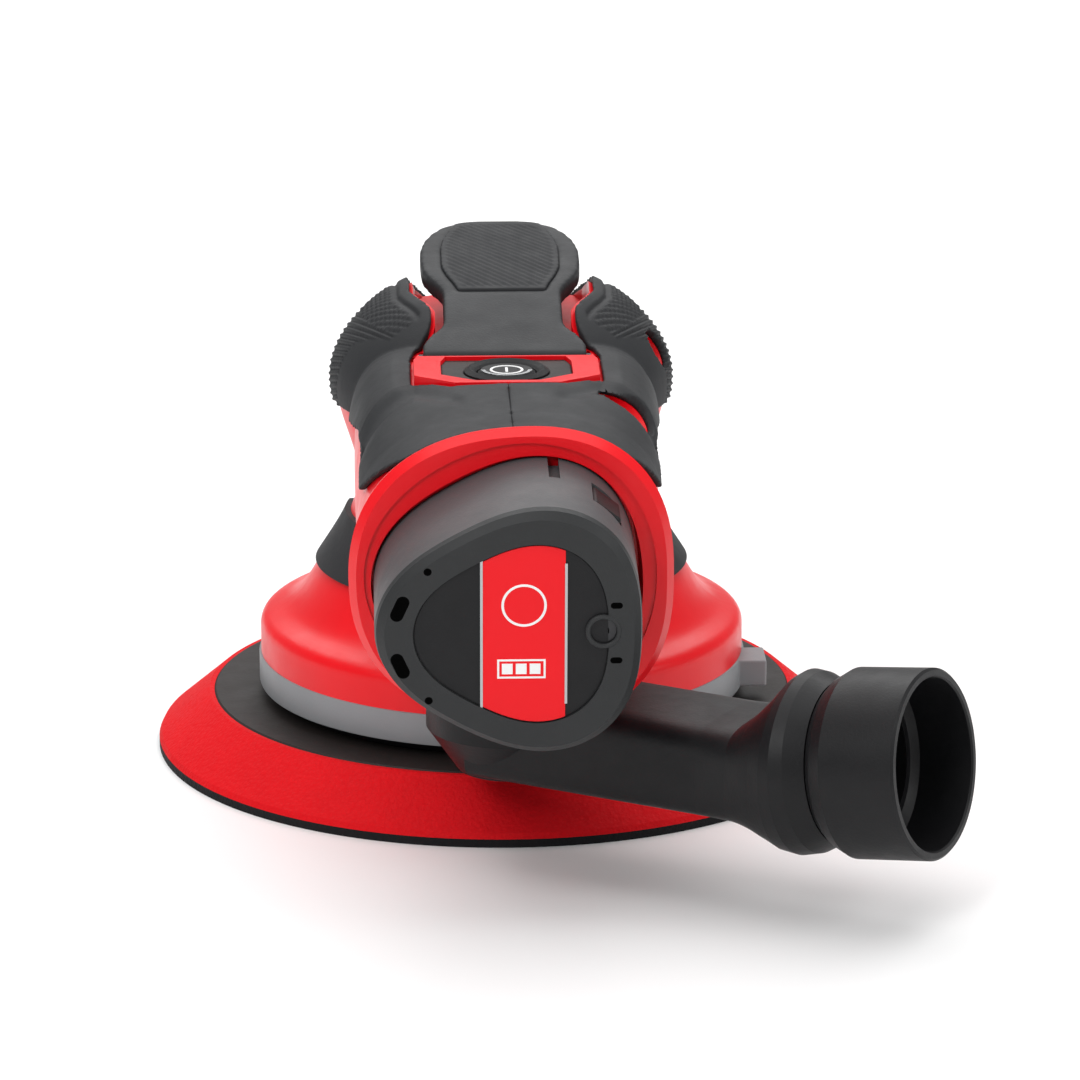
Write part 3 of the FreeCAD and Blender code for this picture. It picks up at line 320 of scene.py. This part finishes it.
def paddle_outline(grow, early=0, scale=1):
    """The paddle's plan outline, moved out by grow; early widens the neck further back."""
    wide = 17.2 + grow
    neck = 12.6 + grow
    rear = -33.6 - grow
    front = 31.5 + grow
    widening = -grow - early
    right = [
        (wide, rear),
        (wide, rear + 4),
        (wide - 1.2, rear + 7 + grow),
        (neck + 0.6, rear + 11 + grow),
        (neck, rear + 13.5 + grow),
        (neck, widening - 8.5),
        (neck + 1.2, widening - 5.5),
        (wide - 1.5, widening - 1.5),
        (wide - 0.2, widening + 2.5),
        (wide, 8),
        (wide, 14),
        (wide - 0.8, 19 + grow / 2),
        (wide - 2.6, 24 + grow / 2),
        (wide - 5.4, front - 3.3),
        (wide - 9, front - 0.8),
        (wide - 12, front),
    ]
    right = [(x * scale, y) for x, y in right]
    return right + [(-x, y) for x, y in reversed(right)]


# edge of the overmould round the paddle's well
WELL = paddle_outline(2.6, 6)


# relief on the grips in millimetres; the ribs' pitch is in degrees round the head
RIB_PITCH = 2.3
RIB_HEIGHT = 0.7
HATCH_PITCH = 1.9
HATCH_HEIGHT = 0.5
GROOVE_DEPTH = 0.6
GROOVE_HALF_WIDTH = 0.5
DECK_LIFT = 1.0
CREASE_DIP = 0.9


def make_grip(side):
    """Ribs round the palm head, a diamond hatch on top of it, and the creased hood behind."""
    node = "grip_right" if side > 0 else "grip_left"
    mesh = remeshed(node, 0.00042, 4)
    points, normals = points_and_normals(mesh)
    x, y, z = points.T
    reach = np.abs(x)

    # the grip's outer skin faces away from a line through the middle of the head and tail
    middle_y = np.maximum(y, -60) * (y < -10)
    away = points - np.stack([0 * x, middle_y, 74 + 0 * z], axis=1)
    outer = (np.sum(away * normals, axis=1) > 0) & (z > 70)

    # the hood: a deck beside the button panel that breaks to a slope behind it
    crease = np.interp(reach, [0, 9, 19.5, 29, 40], [-62, -62, -51, -57, -66])
    deck = ramp(y, crease - 4, crease + 0.3) * ramp(-y, 24, 36)
    deck = deck * ramp(reach, 20.3, 24) * ramp(z, 82, 90)
    lift = DECK_LIFT * deck * outer
    behind = np.exp(-((y - crease + 6) / 4) ** 2) * ramp(reach, 8, 12)
    dip = CREASE_DIP * behind * outer * (y < crease)

    # where the smooth hood ends and the textured head starts
    border = np.interp(reach, [0, 24, 32, 40], [-20, -20, -11, -11])
    textured = ramp(y, border, border + 0.6) * outer
    from_well = distance_to_outline(x, y, WELL)
    flat_rim = ramp(from_well, 3.9, 4.4)
    groove = np.exp(-((from_well - 3.0) / GROOVE_HALF_WIDTH) ** 2) * ramp(y, -20, -17)

    # ribs on the sides and round the nose, hatch on top
    on_side = ramp(np.hypot(x, y), 29.5, 30.5)
    turn = np.degrees(np.arctan2(z - 78 + 0.287 * y, reach))
    around = np.degrees(np.arctan2(y, reach))
    ribs = triangle_wave(np.where(around > 35, around, turn), RIB_PITCH) ** 0.6
    hatch = np.minimum(triangle_wave(x + y, HATCH_PITCH), triangle_wave(x - y, HATCH_PITCH))
    relief = on_side * RIB_HEIGHT * (ribs - 0.6) + (1 - on_side) * HATCH_HEIGHT * (hatch - 0.3)

    push = textured * flat_rim * relief - GROOVE_DEPTH * groove * outer - dip
    points = points + normals * push[:, None]
    points[:, 2] += lift
    set_points(mesh, points)
    add_piece(node + "_skin", mesh, "grip", body_of(node), [node])


# ---------------------------------------------------------------- paddle

PAD_RIB_PITCH = 1.9
PAD_RIB_HEIGHT = 0.45


def make_lever():
    """The paddle with rounded edges, and its finger pad with slanting ribs."""
    mesh = remeshed("paddle_lever", 0.00045, 30)
    add_piece("lever_skin", mesh, "lever", "paddle", ["paddle_lever"])

    pad = remeshed("paddle_grip", 0.00035, 3)
    points, normals = points_and_normals(pad)
    x, y, z = points.T
    pad_outline = [(px, min(py, 29)) for px, py in paddle_outline(0, 0, 0.74) if py >= -8.5]
    edge = distance_to_outline(x, y, pad_outline)
    inner = ramp(-edge, 1.0, 1.6) * (normals[:, 2] > 0.5)
    ribs = triangle_wave(x + 0.9 * y, PAD_RIB_PITCH) - 0.55
    points[:, 2] += inner * PAD_RIB_HEIGHT * ribs
    set_points(pad, points)
    add_piece("lever_pad", pad, "grip", "paddle", ["paddle_grip"])


# ---------------------------------------------------------------- thin inlays and prints

# the battery's own frame: z out of its end, y up
BATTERY = Matrix.Translation((0, -0.104, 0.0662)) @ Matrix.Rotation(math.radians(95), 4, "X")
UPRIGHT = Matrix.Identity(4)


def circle(radius, centre=(0, 0), count=48):
    turns = [2 * math.pi * number / count for number in range(count)]
    return [(centre[0] + radius * math.cos(t), centre[1] + radius * math.sin(t)) for t in turns]


def lobed(radius, lobing, count=72):
    """The battery's rounded triangle, with its apex at -X."""
    outline = []
    for number in range(count):
        turn = 2 * math.pi * number / count
        reach = radius * (1 - lobing * math.cos(3 * turn))
        outline.append((reach * math.cos(turn), 0.955 * reach * math.sin(turn)))
    return outline


def capsule(centre, length, width, angle, count=16):
    """A slot with round ends, its long axis at angle degrees."""
    half = (length - width) / 2
    lean = math.radians(angle)
    outline = []
    for end in (1, -1):
        for number in range(count + 1):
            turn = math.pi * (number / count - 0.5)
            along = end * (half + width / 2 * math.cos(turn))
            across = end * width / 2 * math.sin(turn)
            outline.append((
                centre[0] + along * math.cos(lean) - across * math.sin(lean),
                centre[1] + along * math.sin(lean) + across * math.cos(lean)))
    return outline


def plate(outline, low, high, inner=None, edge=0.05):
    """Vertices in millimetres and faces of a flat plate with a chamfered top edge."""
    count = len(outline)
    centre_x = sum(x for x, y in outline) / count
    centre_y = sum(y for x, y in outline) / count

    def drawn_in(loop, amount):
        moved = []
        for x, y in loop:
            away = math.hypot(x - centre_x, y - centre_y)
            factor = 1 - amount / away
            moved.append((centre_x + (x - centre_x) * factor, centre_y + (y - centre_y) * factor))
        return moved

    loops = [(outline, low), (outline, high - edge), (drawn_in(outline, edge), high)]
    if inner:
        loops += [(drawn_in(inner, -edge), high), (inner, high - edge), (inner, low)]
    vertices = [(x, y, z) for loop, z in loops for x, y in loop]
    faces = []
    for level in range(len(loops) - 1):
        for number in range(count):
            after = (number + 1) % count
            faces.append((level * count + number, level * count + after,
                          (level + 1) * count + after, (level + 1) * count + number))
    if not inner:
        faces.append(tuple(range((len(loops) - 1) * count, len(loops) * count)))
    return vertices, faces


def add_plates(name, plates, place, material, body, replaced=()):
    """One piece from several plates, put in place by a matrix."""
    vertices = []
    faces = []
    for new_vertices, new_faces in plates:
        start = len(vertices)
        vertices += [place @ (Vector(vertex) * MM) for vertex in new_vertices]
        faces += [tuple(start + index for index in face) for face in new_faces]
    mesh = bpy.data.meshes.new(name)
    mesh.from_pydata(vertices, [], faces)
    mesh.validate()
    return add_piece(name, mesh, material, body, replaced)


# heights along the battery's axis
END_FACE = 27
RECESS_FLOOR = END_FACE - 0.8
LABEL_PRINT_LOW = END_FACE - 0.35
LABEL_PRINT_TOP = END_FACE - 0.22
SCREW_PLACE = (16.4, 0.5)


def make_battery_face():
    """Vents drawn as near-black plates of painted shade, inlay, screw boss and printed label on the
    battery's end.
    """
    openings = [
        capsule((-23.0, 5.6), 5.5, 2.6, 66),
        capsule((-23.0, -6.3), 5.5, 2.6, 114),
        capsule((18.9, 5.9), 2.4, 1.3, 0),
        capsule((18.9, -5.5), 2.4, 1.3, 0),
        circle(0.8, (-17.6, 13.2)),
        circle(0.8, (-17.5, -13.6)),
    ]
    # the vents are flat near-black plates on the face, painted shade in place of open slots
    shaded_vents = [plate(outline, END_FACE - 0.3, END_FACE + 0.03) for outline in openings]
    add_plates("battery_vent_shade", shaded_vents, BATTERY, "slot_shade", "battery")
    inlay = plate(lobed(18.8, 0.08), RECESS_FLOOR, END_FACE - 0.55)
    add_plates("battery_inlay", [inlay], BATTERY, "black", "battery")
    boss = plate(circle(3.5, SCREW_PLACE), RECESS_FLOOR, END_FACE + 0.2, circle(2.6, SCREW_PLACE), 0.2)
    add_plates("battery_screw_boss", [boss], BATTERY, "battery_dark", "battery")
    borders = []
    for x, tall in ((-7.25, 16.9), (9.15, 14.6)):
        borders.append(plate(
            [(x - 0.25, -tall), (x + 0.25, -tall), (x + 0.25, tall), (x - 0.25, tall)],
            RECESS_FLOOR, LABEL_PRINT_TOP))
    add_plates("label_border", borders, BATTERY, "silver", "battery")

    # a ring and a battery level, printed on the label
    ring = plate(circle(4.4, (1, 6)), LABEL_PRINT_LOW, LABEL_PRINT_TOP, circle(3.9, (1, 6)))
    case_outer = [(-4.2, -9.2), (5.2, -9.2), (5.2, -5.2), (-4.2, -5.2)]
    case_inner = [(-3.8, -8.8), (4.8, -8.8), (4.8, -5.6), (-3.8, -5.6)]
    marks = [ring, plate(case_outer, LABEL_PRINT_LOW, LABEL_PRINT_TOP, case_inner)]
    for number in range(3):
        left = -3.3 + 2.7 * number
        level = [(left, -8.3), (left + 2.1, -8.3), (left + 2.1, -6.1), (left, -6.1)]
        marks.append(plate(level, LABEL_PRINT_LOW, LABEL_PRINT_TOP))
    add_plates("label_marks", marks, BATTERY, "white", "battery")


def make_power_mark():
    """A plain on-off mark on the button: a ring with a bar in it."""
    centre = (0, -45.2)
    button_face = 95.4 - 0.4
    top = button_face + 0.12
    ring = plate(circle(3.5, centre), top - 0.2, top, circle(2.95, centre))
    bar = plate([(-0.28, -47.0), (0.28, -47.0), (0.28, -43.4), (-0.28, -43.4)], top - 0.2, top)
    add_plates("power_mark", [ring, bar], UPRIGHT, "white", body_of("power_symbol"),
               ["power_symbol"])


def make_spring():
    """The coil under the paddle, as its own copy of the part's mesh on the spring's body."""
    spring = add_piece("spring_coil", nodes["paddle_spring"].data.copy(), "steel",
                       body_of("paddle_spring"), ["paddle_spring"])
    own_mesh(spring)


def soften(node, width, angle):
    """Rounded edges on a hard-edged piece."""
    weld = nodes[node].modifiers.new("weld", "WELD")
    weld.merge_threshold = 0.00001
    bevel = nodes[node].modifiers.new("bevel", "BEVEL")
    bevel.width = width
    bevel.segments = 2
    bevel.limit_method = "ANGLE"
    bevel.angle_limit = math.radians(angle)


make_grip(1)
make_grip(-1)
make_lever()
make_battery_face()
make_power_mark()
make_spring()
for hard_piece in ("button_frame", "button_plate", "shroud", "battery_screw"):
    soften(hard_piece, 0.0004, 35)


# ---------------------------------------------------------------- floor, lights, camera

def make_floor():
    mesh = bpy.data.meshes.new("floor")
    reach = 6.0
    corners = [(-reach, -reach, 0), (reach, -reach, 0), (reach, reach, 0), (-reach, reach, 0)]
    mesh.from_pydata(corners, [], [(0, 1, 2, 3)])
    floor = bpy.data.objects.new("floor", mesh)
    bpy.context.scene.collection.objects.link(floor)
    shader = Shader("floor_paper")
    shader.link(
        shader.blend(shader.noise(0.4), (0.86, 0.86, 0.86), (0.9, 0.9, 0.9)),
        shader.surface.inputs["Base Color"])
    shader.surface.inputs["Roughness"].default_value = 0.75
    mesh.materials.append(shader.material)


def area_light(name, place, target, width, height, power):
    light = bpy.data.lights.new(name, "AREA")
    light.shape = "RECTANGLE"
    light.size = width
    light.size_y = height
    light.energy = power
    thing = bpy.data.objects.new(name, light)
    thing.location = place
    thing.rotation_euler = (Vector(target) - Vector(place)).to_track_quat("-Z", "Y").to_euler()
    bpy.context.scene.collection.objects.link(thing)


def make_studio():
    middle = (0, -0.04, 0.05)
    area_light("key", (-0.6, -0.9, 0.9), middle, 0.6, 0.6, 7)
    area_light("fill", (1.1, -0.6, 0.7), middle, 0.7, 0.7, 4.5)
    area_light("rim", (0.0, 0.9, 0.8), middle, 1.2, 0.5, 5)
    area_light("ceiling", (0.0, 0.3, 2.2), middle, 3.0, 3.0, 46)
    world = bpy.data.worlds.new("studio")
    world.use_nodes = True
    background = world.node_tree.nodes["Background"]
    background.inputs["Color"].default_value = (1, 1, 1, 1)
    background.inputs["Strength"].default_value = 0.36
    bpy.context.scene.world = world
    bpy.context.scene.view_settings.view_transform = "Standard"


def make_camera():
    data = bpy.data.cameras.new("camera")
    data.sensor_width = 36
    data.lens = 182.2
    data.clip_start = 0.05
    camera = bpy.data.objects.new("camera", data)
    camera.location = (-0.02944, -1.14113, 0.37275)
    camera.rotation_euler = (math.radians(74), 0, math.radians(-1.9))
    bpy.context.scene.collection.objects.link(camera)
    bpy.context.scene.camera = camera


make_floor()
make_studio()
make_camera()
